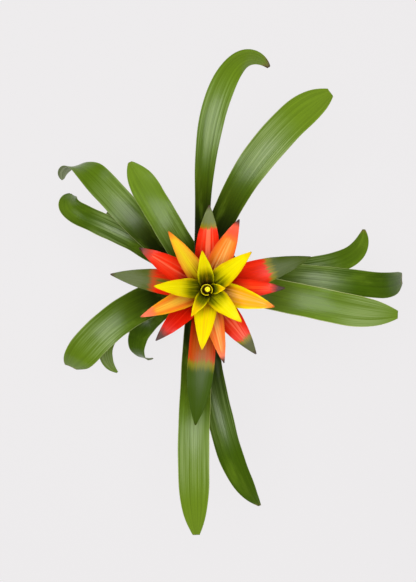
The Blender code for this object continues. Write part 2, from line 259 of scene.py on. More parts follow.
plastic, tree, shader = new_material("pot_plastic", 0.42, coat_weight=0.08, coat_roughness=0.35)
place = object_place(tree)
height_up = height_of(tree, place)
grain = noise(tree, place, 900, 3)
flow = noise(tree, place, 45, 4, 0.6)
scuffs = noise(tree, place, 160, 6, 0.75)
higher = ramp(tree, height_up, 0.02, 0.10, 0.25, 0.9)
dust = maths(tree, "MULTIPLY", ramp(tree, scuffs, 0.52, 0.72), higher)
body = paint(tree, ramp(tree, flow, 0.35, 0.7), colour(46, 47, 50), colour(58, 59, 62))
body = paint(tree, maths(tree, "MULTIPLY", dust, 0.35), body, colour(122, 112, 98))
tree.links.new(body, shader.inputs["Base Color"])
tree.links.new(ramp(tree, flow, 0.3, 0.75, 0.36, 0.52), shader.inputs["Roughness"])
bump(tree, shader, grain, 0.25, 0.0001)
add_piece("pot", pot_mesh, plastic, "pot_plastic", "pot")


# Potting mix: composted bark and peat with a little perlite, filled to just under the rim. A body of
# packed peat carries loose bits, scattered by Geometry Nodes, each kind with its own size and colour.

MIX_TOP = 0.088
MIX_DOME = 0.003
MIX_STEPS = 160
CROWN_RADIUS = 0.0235
CROWN_SEAT = 0.0716
GAP = 0.0004
BITS_FROM = 0.0262
BITS_TO = 0.0475
BIT_ROUGHNESS = 0.0018


def mix_body():
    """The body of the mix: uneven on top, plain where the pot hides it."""
    round_crown, floor_height = CROWN_RADIUS + GAP, INSIDE_FLOOR + GAP
    profile = [(0, CROWN_SEAT), (round_crown, CROWN_SEAT), (round_crown, MIX_TOP - 0.001)]
    for share in [k / 16 for k in range(17)]:
        profile.append((0.0255 + 0.0238 * share, MIX_TOP - MIX_DOME * share**2))
    profile += [(0.0345, INSIDE_FLOOR + 0.0012), (0.0337, floor_height), (0, floor_height)]
    mesh = turned_mesh("potting_mix", profile, MIX_STEPS)
    for vertex in mesh.vertices:
        x, y, z = vertex.co
        if z > 0.083 and math.hypot(x, y) > 0.0250:
            lump = math.sin(x * 420 + 3 * math.sin(y * 310)) * math.sin(y * 380 + 2 * math.sin(x * 250))
            vertex.co.z += 0.0005 * lump
    return mesh


def crumb_tree(kinds):
    """Scatters each kind of bit over the top, roughens it and gives it its material. Its inputs are the
    ring that the bits lie in and, for each kind, how close, how many, how large and how deep they lie."""
    group = bpy.data.node_groups.new("loose_bits", "GeometryNodeTree")
    group.interface.new_socket("Geometry", in_out="INPUT", socket_type="NodeSocketGeometry")
    group.interface.new_socket("Geometry", in_out="OUTPUT", socket_type="NodeSocketGeometry")
    for label in ("Inner edge", "Outer edge"):
        group.interface.new_socket(label, in_out="INPUT", socket_type="NodeSocketFloat")
    for material in kinds:
        for label in BIT_SIZES:
            kind = "NodeSocketVector" if label in ("least", "most") else "NodeSocketFloat"
            group.interface.new_socket(f"{material.name} {label}", in_out="INPUT", socket_type=kind)
    start = group.nodes.new("NodeGroupInput")
    end = group.nodes.new("NodeGroupOutput")
    join = group.nodes.new("GeometryNodeJoinGeometry")
    position = group.nodes.new("GeometryNodeInputPosition").outputs[0]
    flat = wire(group, "ShaderNodeVectorMath", position, (1, 1, 0), operation="MULTIPLY").outputs[0]
    out_from_axis = wire(group, "ShaderNodeVectorMath", flat, operation="LENGTH").outputs["Value"]
    upward = wire(group, "ShaderNodeSeparateXYZ", group.nodes.new("GeometryNodeInputNormal").outputs[0])
    inside = maths(group, "GREATER_THAN", out_from_axis, start.outputs["Inner edge"])
    within = maths(group, "LESS_THAN", out_from_axis, start.outputs["Outer edge"])
    level = maths(group, "GREATER_THAN", upward.outputs[2], 0.6)
    on_top = maths(group, "MULTIPLY", maths(group, "MULTIPLY", inside, within), level)
    group.links.new(start.outputs["Geometry"], join.inputs[0])
    for seed, material in enumerate(kinds, 1):
        gap, density, least, most, sink = (start.outputs[f"{material.name} {label}"] for label in BIT_SIZES)
        spots = wire(group, "GeometryNodeDistributePointsOnFaces", start.outputs["Geometry"], on_top)
        spots.distribute_method = "POISSON"
        group.links.new(gap, spots.inputs["Distance Min"])
        group.links.new(density, spots.inputs["Density Max"])
        spots.inputs["Seed"].default_value = seed
        bit = wire(group, "GeometryNodeMeshIcoSphere", 1.0, 2)
        size = wire(group, "FunctionNodeRandomValue", data_type="FLOAT_VECTOR")
        group.links.new(least, size.inputs["Min"])
        group.links.new(most, size.inputs["Max"])
        size.inputs["Seed"].default_value = seed + 10
        spin = wire(group, "FunctionNodeRandomValue", data_type="FLOAT_VECTOR")
        spin.inputs["Min"].default_value = (-0.5, -0.5, 0)
        spin.inputs["Max"].default_value = (0.5, 0.5, 6.283)
        spin.inputs["Seed"].default_value = seed + 20
        placed = wire(group, "GeometryNodeInstanceOnPoints", spots.outputs["Points"])
        group.links.new(bit.outputs["Mesh"], placed.inputs["Instance"])
        group.links.new(spin.outputs["Value"], placed.inputs["Rotation"])
        group.links.new(size.outputs["Value"], placed.inputs["Scale"])
        real = wire(group, "GeometryNodeRealizeInstances", placed.outputs[0])
        rough = wire(group, "ShaderNodeTexNoise", position, None, 700.0, 2.0, 0.6)
        swing = wire(
            group, "ShaderNodeVectorMath", rough.outputs["Color"], (0.5, 0.5, 0.5), operation="SUBTRACT"
        )
        swell = wire(group, "ShaderNodeVectorMath", swing.outputs[0], operation="SCALE")
        swell.inputs["Scale"].default_value = BIT_ROUGHNESS
        moved = wire(group, "GeometryNodeSetPosition", real.outputs[0])
        down = wire(group, "ShaderNodeCombineXYZ", 0.0, 0.0, maths(group, "MULTIPLY", sink, -1.0))
        lowered = wire(group, "ShaderNodeVectorMath", swell.outputs[0], down.outputs[0], operation="ADD")
        group.links.new(lowered.outputs[0], moved.inputs["Offset"])
        dressed = wire(group, "GeometryNodeSetMaterial", moved.outputs[0])
        dressed.inputs["Material"].default_value = material
        group.links.new(dressed.outputs[0], join.inputs[0])
    group.links.new(join.outputs[0], end.inputs[0])
    return group


def earthy(name, dark, light, scale, depth):
    material, tree, shader = new_material(name, 0.92)
    fine = noise(tree, object_place(tree), scale, 5, 0.7)
    tree.links.new(paint(tree, ramp(tree, fine, 0.3, 0.7), dark, light), shader.inputs["Base Color"])
    bump(tree, shader, fine, 0.7, depth)
    return material


peat = earthy("peat", colour(38, 27, 19), colour(74, 54, 38), 900, 0.0006)
bark = earthy("bark", colour(70, 44, 28), colour(132, 92, 60), 500, 0.0004)
perlite = earthy("perlite", colour(186, 182, 172), colour(228, 226, 218), 700, 0.0003)
raw_mix = bpy.data.objects.new("raw_mix", mix_body())
bpy.context.scene.collection.objects.link(raw_mix)
raw_mix.data.materials.append(peat)
# The gap between bits, how many to a square metre, the smallest and the largest bit, and how far it sinks
BIT_SIZES = ("gap", "density", "least", "most", "sink")
LOOSE_BITS = {
    peat: (0.0013, 500000.0, (0.0006, 0.0005, 0.0004), (0.0014, 0.0011, 0.0009), 0.0001),
    bark: (0.0036, 60000.0, (0.0012, 0.0007, 0.0004), (0.0034, 0.0020, 0.0009), -0.0001),
    perlite: (0.0075, 16000.0, (0.0008, 0.0007, 0.0006), (0.0015, 0.0013, 0.0011), -0.0002),
}
scatter = raw_mix.modifiers.new("Bits", "NODES")
scatter.node_group = crumb_tree(LOOSE_BITS)
bit_values = {"Inner edge": BITS_FROM, "Outer edge": BITS_TO}
for material, sizes in LOOSE_BITS.items():
    bit_values.update((f"{material.name} {label}", size) for label, size in zip(BIT_SIZES, sizes))
for item in scatter.node_group.interface.items_tree:
    if item.name in bit_values:
        scatter[item.identifier] = bit_values[item.name]
add_piece("potting_mix", finished_mesh(raw_mix), None, "potting_mix", "potting_mix")


# Stem: the stout crown that the leaves grow from and the slim flower stalk that rises out of it, one
# grown piece. It is ringed where leaves and bracts leave it, pale and woody below, green further up.

CROWN_TOP = 0.130
STEM_TOP = 0.376
HEAD_TOP = 0.366
LEAN = Vector((0.0080, -0.0087, 0.0))
LEAF_SCAR_SPACING = 0.012
BRACT_SCAR_SPACING = 0.030
SCAR_DEPTH = 0.03
# Height and radius
STEM_STATIONS = (
    (0.072, 0.0188),
    (0.080, 0.0235),
    (0.088, 0.0235),
    (0.109, 0.01465),
    (0.130, 0.0058),
    (0.190, 0.00484),
    (0.250, 0.0044),
    (0.282, 0.0044),
    (0.324, 0.0044),
    (0.366, 0.00396),
    (0.376, 0.0020),
)


def smooth(share):
    share = min(max(share, 0.0), 1.0)
    return share * share * (3 - 2 * share)


def stem_axis(height):
    climb = (height - MIX_TOP) / (STEM_TOP - MIX_TOP)
    return LEAN * smooth(climb) + Vector((0, 0, height))


def stem_radius(height):
    for (low, wide), (high, narrow) in zip(STEM_STATIONS, STEM_STATIONS[1:]):
        if low <= height <= high:
            return wide + (narrow - wide) * (height - low) / (high - low)
    return STEM_STATIONS[-1][1]


def stem_mesh():
    rows, columns = 300, 40
    verts, faces = [], []
    low, high = STEM_STATIONS[0][0], STEM_TOP
    for row in range(rows + 1):
        height = low + (high - low) * row / rows
        ring = LEAF_SCAR_SPACING if height < CROWN_TOP else BRACT_SCAR_SPACING
        scar = max(0.0, math.cos(height / ring * 2 * math.pi)) ** 12
        radius = stem_radius(height) * (1 - SCAR_DEPTH * scar)
        centre = stem_axis(height)
        for column in range(columns):
            turn = 2 * math.pi * column / columns
            verts.append(centre + radius * Vector((math.cos(turn), math.sin(turn), 0)))
    for row in range(rows):
        for column in range(columns):
            after = (column + 1) % columns
            near, far = row * columns, (row + 1) * columns
            faces.append((near + column, near + after, far + after, far + column))
    faces.append(tuple(range(columns))[::-1])
    faces.append(tuple(rows * columns + column for column in range(columns)))
    mesh = bpy.data.meshes.new("stem")
    mesh.from_pydata(verts, [], faces)
    mesh.shade_smooth()
    return mesh


stalk, tree, shader = new_material("stem_tissue", 0.45)
place = object_place(tree)
height_up = height_of(tree, place)
stretched = wire(tree, "ShaderNodeMapping", place)
stretched.inputs["Scale"].default_value = (1, 1, 0.12)
fibre = noise(tree, stretched.outputs[0], 700, 4, 0.6)
woody = paint(tree, fibre, colour(96, 78, 46), colour(150, 132, 84))
green = paint(tree, fibre, colour(96, 112, 40), colour(138, 150, 66))
skin = paint(tree, ramp(tree, height_up, 0.100, 0.135), woody, green)
skin = paint(tree, ramp(tree, height_up, 0.26, 0.34, 0, 0.7), skin, colour(190, 90, 40))
tree.links.new(skin, shader.inputs["Base Color"])
bump(tree, shader, fibre, 0.5, 0.0003)
add_piece("stem", stem_mesh(), stalk, "stem_green", "stem")


# Leaves: soft straps that wrap the crown at their foot, arch over and hang, with fine veins running
# lengthwise, a pale scaly underside and dry brown tips on the older ones. Each is one closed shell.

# The reach is from the plant's axis to the tip. Heading and pitch are in degrees, at even steps from the
# foot to the tip; channel is how many degrees the blade bends across. Late moves the start of the taper,
# tip is the width left at the end, skew leans the end sideways, roll twists it and waist thins the foot.
Blade = namedtuple(
    "Blade",
    "name reach half_width heading pitch channel late tip skew roll waist",
    defaults=(20.0, 0.0, 0.14, 0.0, 0.0, 0.0),
)
LEAF_THICKNESS = 0.0006
LEAF_ROWS, LEAF_COLUMNS = 110, 16
LEAF_RIPPLE = 0.0006
LEAF_TAPER = 0.75
FOOT_END, FOOT_SPREAD = 0.2, 0.35
WAIST_FROM, WAIST_FADE = 0.37, 0.35
ROLL_START = 0.66
ROW_CROWDING = 1.3
EDGE_THINNING = 0.75
MOST_WRAP = math.radians(72)
LEAVES = (
    Blade("leaf_south", 0.284, 0.0175, (-91, -93, -93, -90, -87), (82, 56, 24, -4, -30), tip=0.22),
    Blade(
        "leaf_north", 0.259, 0.0146, (89, 89, 88, 86, 76, 52, -34), (81, 54, 22, -5, -58),
        late=-0.10, roll=40, waist=0.40,
    ),
    Blade(
        "leaf_inner_east", 0.231, 0.0188, (-6, -9, -12, -11, -2), (80, 56, 18, -2, -14),
        late=0.0, tip=0.24,
    ),
    Blade(
        "leaf_north_east", 0.267, 0.0196, (74, 71, 60, 47, 37), (79, 52, 20, -5, -28),
        late=0.05, tip=0.28, skew=-0.10, waist=0.24,
    ),
    Blade(
        "leaf_north_west_inner", 0.169, 0.0178, (120, 120, 121, 120, 116), (79, 59, 14, -8, -20),
        skew=0.15,
    ),
    Blade(
        "leaf_west", 0.186, 0.0203, (197, 199, 210, 226, 240), (77, 54, 20, -6, -60),
        late=0.02, tip=0.38, skew=-0.25,
    ),
    Blade(
        "leaf_south_east", 0.275, 0.0155, (-86, -84, -79, -72, -58), (76, 48, 18, -8, -36), 34,
        late=-0.07, skew=0.25,
    ),
    Blade(
        "leaf_north_west", 0.216, 0.0178, (137, 137, 136, 133, 149, 252), (75, 49, 18, -3, -24, -66),
        late=-0.04, roll=120,
    ),
    Blade(
        "leaf_east", 0.247, 0.0156, (7, 5, -4, -6, 8), (75, 48, 14, -14, -60),
        late=0.08, tip=0.42, skew=0.45,
    ),
    Blade(
        "leaf_west_north_west", 0.199, 0.0155, (146, 147, 150, 154, 150, 76),
        (73, 45, 19, 0, -20, -60), 48, late=0.06,
    ),
    Blade(
        "leaf_south_west", 0.118, 0.0140, (211, 213, 220, 238, 286, 372), (72, 53, 22, -12, -38, -60),
        24, late=-0.35, roll=100,
    ),
    Blade("leaf_east_north_east", 0.213, 0.0128, (8, 8, 8, 18, 84), (71, 43, 12, -12, -34)),
    Blade("leaf_low_north_west", 0.152, 0.0140, (142, 142, 143, 145, 148), (70, 38, 4, -24, -50)),
    Blade(
        "leaf_low_west", 0.162, 0.0100, (210, 209, 209, 216, 270, 318), (68, 38, 4, -16, -30, -46),
        late=-0.1,
    ),
)


def along(knots, share):
    """The value at a share of the way, on a smooth curve through knots at even steps."""
    place = share * (len(knots) - 1)
    index = min(int(place), len(knots) - 2)
    part = place - index
    start, end = knots[index], knots[index + 1]
    before = knots[max(index - 1, 0)]
    after = knots[min(index + 2, len(knots) - 1)]
    square = 2 * before - 5 * start + 4 * end - after
    cube = 3 * (start - end) + after - before
    return start + part / 2 * (end - before + part * (square + part * cube))


def past(start, share):
    """How far a share is past a start: 0 before it, 1 at the tip."""
    return max(0.0, (share - start) / (1 - start))


def leaf_outline(blade, share):
    """The half width at a share of the length, and how far it leans to the left, in half widths."""
    tapered = past(LEAF_TAPER + blade.late, share)
    wide = 1 + FOOT_SPREAD * (1 - smooth(share / FOOT_END)) - (1 - blade.tip) * tapered**2.6
    wide -= blade.waist * (1 - smooth((share - WAIST_FROM) / WAIST_FADE))
    return wide, blade.skew * tapered**2


def spine_of(blade, height, thickness, shares):
    """The blade's middle line: a point, a heading and a pitch at each share of its length."""
    headings = [math.radians(along(blade.heading, share)) for share in shares]
    pitches = [math.radians(along(blade.pitch, share)) for share in shares]
    moves = []
    for step in range(len(shares) - 1):
        heading = (headings[step] + headings[step + 1]) / 2
        pitch = (pitches[step] + pitches[step + 1]) / 2
        level = math.cos(pitch)
        ahead = Vector((level * math.cos(heading), level * math.sin(heading), math.sin(pitch)))
        moves.append(ahead * (shares[step + 1] - shares[step]))
    seat = (stem_radius(height) + GAP + thickness / 2) / math.cos(MOST_WRAP / 4)
    length = (blade.reach - seat) / sum(moves, Vector()).to_2d().length
    point = stem_axis(height) + seat * Vector((math.cos(headings[0]), math.sin(headings[0]), 0))
    points = [point.copy()]
    for move in moves:
        point = point + move * length
        points.append(point)
    return list(zip(points, headings, pitches))


def blade_mesh(blade, height, thickness, outline, rows, columns, ripple=0.0, phase=0.0):
    """A closed shell along the blade's spine, thick in the middle and thin at the edges. The UV map runs
    across from 0 to 1 on the upper side and from 1 to 2 on the underside, and up from foot to tip."""
    shares = [1 - (1 - row / rows) ** ROW_CROWDING for row in range(rows + 1)]
    spine = spine_of(blade, height, thickness, shares)
    verts, uvs = [], []
    for side in (1, -1):
        for share, (point, heading, pitch) in zip(shares, spine):
            wide, left = outline(blade, share)
            half = blade.half_width * wide
            wrap = math.sin(pitch) / (point - stem_axis(point.z)).to_2d().length
            if pitch > 0:
                half = min(half, MOST_WRAP / wrap)
            bend = max(wrap, math.radians(blade.channel) / blade.half_width)
            level = Vector((-math.sin(heading), math.cos(heading), 0))
            steep = Vector((-math.cos(heading), -math.sin(heading), 0)) * math.sin(pitch)
            steep.z = math.cos(pitch)
            roll = math.radians(blade.roll) * smooth(past(ROLL_START, share))
            leftward = level * math.cos(roll) + steep * math.sin(roll)
            up = steep * math.cos(roll) - level * math.sin(roll)
            for column in range(columns + 1):
                across = math.sin((column / columns - 0.5) * math.pi)
                angle = (left * blade.half_width - across * half) * bend
                out = up * math.cos(angle) - leftward * math.sin(angle)
                wave = ripple * abs(across) ** 3 * smooth(share * 3)
                wave *= math.sin(share * 23 + phase + across * 1.7) + 0.5 * math.sin(share * 51 + phase * 2)
                depth = side * thickness / 2 * (1 - EDGE_THINNING * abs(across) ** 4)
                middle = point + leftward * math.sin(angle) / bend + up * (1 - math.cos(angle)) / bend
                verts.append(middle + out * (wave + depth))
                uvs.append(((across + 1) / 2, share))
    lower = (rows + 1) * (columns + 1)
    faces, places = [], []

    def add_face(corners, shift):
        faces.append(corners)
        places.extend((uvs[corner][0] + shift, uvs[corner][1]) for corner in corners)

    for row in range(rows):
        for column in range(columns):
            a = row * (columns + 1) + column
            b = a + columns + 1
            add_face((a, a + 1, b + 1, b), 0)
            add_face((lower + a, lower + b, lower + b + 1, lower + a + 1), 1)
        a = row * (columns + 1)
        b = a + columns + 1
        add_face((a, b, lower + b, lower + a), 0)
        add_face((a + columns, lower + a + columns, lower + b + columns, b + columns), 0)
    last = rows * (columns + 1)
    for column in range(columns):
        add_face((column, lower + column, lower + column + 1, column + 1), 0)
        add_face((last + column, last + column + 1, lower + last + column + 1, lower + last + column), 0)
    mesh = bpy.data.meshes.new(blade.name)
    mesh.from_pydata(verts, [], faces)
    layer = mesh.uv_layers.new(name="blade")
    layer.data.foreach_set("uv", [value for place in places for value in place])
    mesh.shade_smooth()
    return mesh


def tissue_group(name, numbers, colours):
    """An empty shader group with the inputs of a plant tissue, and what every tissue starts from."""
    group = bpy.data.node_groups.new(name, "ShaderNodeTree")
    for label in numbers:
        group.interface.new_socket(label, in_out="INPUT", socket_type="NodeSocketFloat")
    for label in colours:
        group.interface.new_socket(label, in_out="INPUT", socket_type="NodeSocketColor")
    group.interface.new_socket("Colour", in_out="OUTPUT", socket_type="NodeSocketColor")
    for label in ("Roughness", "Height"):
        group.interface.new_socket(label, in_out="OUTPUT", socket_type="NodeSocketFloat")
    return group, group.nodes.new("NodeGroupInput").outputs, group.nodes.new("NodeGroupOutput").inputs


def streaks(tree, across, along_blade, seed, wide, long, detail=2.0):
    """Noise drawn out along the blade, with so many cells across it and so many along it."""
    x = maths(tree, "MULTIPLY", across, wide)
    y = maths(tree, "MULTIPLY", along_blade, long)
    place = wire(tree, "ShaderNodeCombineXYZ", x, y, seed).outputs[0]
    return noise(tree, place, 1.0, detail)


def leaf_tissue():
    """The colour, gloss and ribs of a leaf, from its own sizes of tip, edge line and painted sheen, with
    painted shade at the foot.
    """
    numbers = ("Across", "Along", "Under", "Seed", "Dry", "Fresh", "Rim", "Painted sheen", "Painted sheen at")
    group, given, out = tissue_group("leaf_tissue", numbers, ("Foot shade", "Green", "Young"))
    across, up_leaf, under, seed = (given[label] for label in numbers[:4])
    from_middle = maths(group, "ABSOLUTE", maths(group, "MULTIPLY_ADD", across, 2.0, -1.0))
    broad = streaks(group, across, up_leaf, seed, 12.0, 1.5)
    vein = streaks(group, across, up_leaf, seed, 42.0, 3.0, 1.0)
    fine = streaks(group, across, up_leaf, seed, 110.0, 9.0, 1.0)
    blotch = streaks(group, across, up_leaf, seed, 2.0, 7.0, 3.0)
    # Painted shade at the foot, where the star above shades the leaves, then green, then young green towards
    # the tip and in blotches
    flesh = paint(group, ramp(group, up_leaf, 0.32, 0.66), given["Foot shade"], given["Green"])
    young = maths(group, "MULTIPLY", ramp(group, up_leaf, 0.55, 1.0), given["Fresh"])
    flesh = paint(group, young, flesh, given["Young"])
    blotches = maths(group, "MULTIPLY", ramp(group, blotch, 0.45, 0.75), 0.35)
    flesh = paint(group, blotches, flesh, given["Young"])
    # Painted sheen: a pale highlight where the arch lies level and catches the light, broken up by the veins
    off_arch = maths(group, "ABSOLUTE", maths(group, "SUBTRACT", up_leaf, given["Painted sheen at"]))
    painted_sheen = maths(group, "MULTIPLY", ramp(group, off_arch, 0.02, 0.16, 1, 0), given["Painted sheen"])
    broken = ramp(group, maths(group, "ADD", broad, vein), 0.80, 1.20, 0.15, 1)
    painted_sheen = maths(group, "MULTIPLY", painted_sheen, broken)
    flesh = paint(group, painted_sheen, flesh, colour(156, 176, 112))
    # Lighter and darker streaks along the veins
    value = maths(group, "MULTIPLY_ADD", broad, 0.45, 0.30)
    value = maths(group, "MULTIPLY_ADD", vein, 0.60, value)
    value = maths(group, "MULTIPLY_ADD", fine, 0.30, value)
    flesh = wire(group, "ShaderNodeHueSaturation", None, None, value, None, flesh).outputs[0]
    # The pale line along the edge, and the scaly underside
    rim = maths(group, "MULTIPLY", ramp(group, from_middle, 0.955, 0.985), given["Rim"])
    flesh = paint(group, rim, flesh, colour(196, 204, 130))
    pale = paint(group, ramp(group, broad, 0.3, 0.7), colour(122, 134, 88), colour(176, 184, 146))
    flesh = paint(group, maths(group, "MULTIPLY", under, 0.85), flesh, pale)
    # The dry tip, with a yellow margin and a wandering edge
    wander = maths(group, "MULTIPLY_ADD", broad, 0.10, -0.05)
    reached = maths(group, "ADD", up_leaf, wander)
    reached = maths(group, "ADD", reached, maths(group, "MULTIPLY", from_middle, 0.012))
    dry_from = maths(group, "SUBTRACT", 1.0, given["Dry"])
    drying = maths(group, "SUBTRACT", reached, dry_from)
    yellowing = ramp(group, drying, -0.020, 0.0, 0, 0.6)
    dead = ramp(group, drying, -0.004, 0.010)
    flesh = paint(group, yellowing, flesh, colour(158, 140, 62))
    husk = paint(group, fine, colour(58, 44, 34), colour(122, 98, 70))
    group.links.new(paint(group, dead, flesh, husk), out["Colour"])
    gloss = maths(group, "MULTIPLY_ADD", blotch, 0.16, 0.18)
    gloss = maths(group, "MULTIPLY_ADD", under, 0.30, gloss)
    gloss = maths(group, "MULTIPLY_ADD", dead, 0.35, gloss)
    group.links.new(gloss, out["Roughness"])
    ridges = maths(group, "MULTIPLY_ADD", broad, 0.7, maths(group, "MULTIPLY", vein, 0.35))
    group.links.new(maths(group, "MULTIPLY_ADD", fine, 0.08, ridges), out["Height"])
    return group


def blade_place(tree):
    """Across, along and under, read from the blade's own UV map."""
    uv = wire(tree, "ShaderNodeUVMap", uv_map="blade").outputs[0]
    parts = wire(tree, "ShaderNodeSeparateXYZ", uv).outputs
    under = maths(tree, "GREATER_THAN", parts[0], 1.0)
    return maths(tree, "SUBTRACT", parts[0], under), parts[1], under


def dress_blade(name, group, values, specular, depth):
    """A material that takes its colour, gloss and veins from a tissue group."""
    material, tree, shader = new_material(name, specular_ior_level=specular)
    tissue = tree.nodes.new("ShaderNodeGroup")
    tissue.node_tree = group
    for label, socket in zip(("Across", "Along", "Under"), blade_place(tree)):
        tree.links.new(socket, tissue.inputs[label])
    for label, value in values.items():
        tissue.inputs[label].default_value = value
    tree.links.new(tissue.outputs["Colour"], shader.inputs["Base Color"])
    tree.links.new(tissue.outputs["Roughness"], shader.inputs["Roughness"])
    bump(tree, shader, tissue.outputs["Height"], 0.5, depth)
    return material


leaf_group = leaf_tissue()
# The first two colours are painted shade for the leaf feet under the star; the others are the greens of the
# blades
SHADY = colour(26, 36, 3)
SOFT_SHADE = colour(60, 80, 8)
DARK = colour(66, 94, 6)
GREEN = colour(88, 118, 16)
YOUNG = colour(122, 152, 36)
BRIGHT = colour(104, 134, 34)
# How long the dry tip is (none below 0), how far the young green comes down, how pale the edge line is,
# how strong the painted sheen is and where it lies, then the painted shade at the foot and the blade's green
LEAF_LOOKS = {
    "leaf_south": (-0.03, 1.0, 0.5, 0.6, 0.73, SHADY, GREEN),
    "leaf_north": (0.012, 0.9, 0.2, 0.45, 0.66, SHADY, GREEN),
    "leaf_inner_east": (-0.03, 0.4, 0.9, 0.6, 0.86, SOFT_SHADE, BRIGHT),
    "leaf_north_east": (-0.03, 1.0, 0.4, 0.65, 0.68, SHADY, GREEN),
    "leaf_north_west_inner": (-0.02, 0.5, 0.3, 0.2, 0.52, SOFT_SHADE, BRIGHT),
    "leaf_west": (-0.01, 0.6, 0.3, 0.5, 0.72, SHADY, GREEN),
    "leaf_south_east": (-0.01, 0.1, 0.3, 0.3, 0.60, SHADY, DARK),
    "leaf_north_west": (-0.03, 0.3, 0.3, 0.35, 0.60, SHADY, GREEN),
    "leaf_east": (-0.01, 0.1, 0.4, 0.35, 0.58, SOFT_SHADE, DARK),
    "leaf_west_north_west": (-0.03, 0.2, 0.6, 0.5, 0.60, SOFT_SHADE, DARK),
    "leaf_south_west": (-0.03, 0.2, 0.5, 0.8, 0.96, SOFT_SHADE, DARK),
    "leaf_east_north_east": (-0.004, 0.4, 0.4, 0.3, 0.62, SHADY, DARK),
    "leaf_low_north_west": (-0.01, 0.2, 0.3, 0.3, 0.60, SHADY, GREEN),
    "leaf_low_west": (-0.03, 1.0, 0.6, 0.9, 0.86, SOFT_SHADE, BRIGHT),
}
LOOK_LABELS = ("Dry", "Fresh", "Rim", "Painted sheen", "Painted sheen at", "Foot shade", "Green")
LEAF_SPECULAR = 0.19
LEAF_RIB_DEPTH = 0.0004
first_leaf, last_leaf = CROWN_TOP - 0.001, MIX_TOP + 0.001
for index, leaf in enumerate(LEAVES):
    height = first_leaf - (first_leaf - last_leaf) * index / (len(LEAVES) - 1)
    size = (LEAF_THICKNESS, leaf_outline, LEAF_ROWS, LEAF_COLUMNS, LEAF_RIPPLE)
    mesh = blade_mesh(leaf, height, *size, index * 1.9)
    looks = dict(zip(LOOK_LABELS, LEAF_LOOKS[leaf.name]))
    looks.update(Seed=index * 7.3, Young=YOUNG)
    material = dress_blade(leaf.name, leaf_group, looks, LEAF_SPECULAR, LEAF_RIB_DEPTH)
    add_piece(leaf.name, mesh, material, "leaf_green", leaf.name)


# Stalk bracts: short leaves that clasp the flower stalk, each above the last, green with a red flush
# towards the head. They are made as the leaves are, thinner and pointed.

BRACT_THICKNESS = 0.0005
BRACT_COLUMNS = 14
BRACT_TAPER = 0.45
BRACT_RIB_DEPTH = 0.0002
STALK_TOP_BRACT = 0.236
STALK_SPACING = 0.027
STALK_ROWS = 60
STALK_RIPPLE = 0.0002
STALK_SPECULAR = 0.4
STALK_BRACTS = (
    Blade("stalk_bract_1", 0.020, 0.0100, (45, 45, 45), (84, 78, 70), 20),
    Blade("stalk_bract_2", 0.023, 0.0105, (-92, -92, -92), (84, 78, 68), 20),
    Blade("stalk_bract_3", 0.026, 0.0110, (130, 130, 130), (84, 78, 66), 20),
    Blade("stalk_bract_4", 0.029, 0.0115, (-8, -8, -8), (84, 78, 64), 20),
)


def bract_outline(blade, share):
    """As leaf_outline: a little narrower at the foot, widest where the taper starts, pointed at the tip."""
    start = BRACT_TAPER + blade.late
    return 0.82 + 0.18 * smooth(share / start) - 0.95 * past(start, share) ** 1.9, 0.0


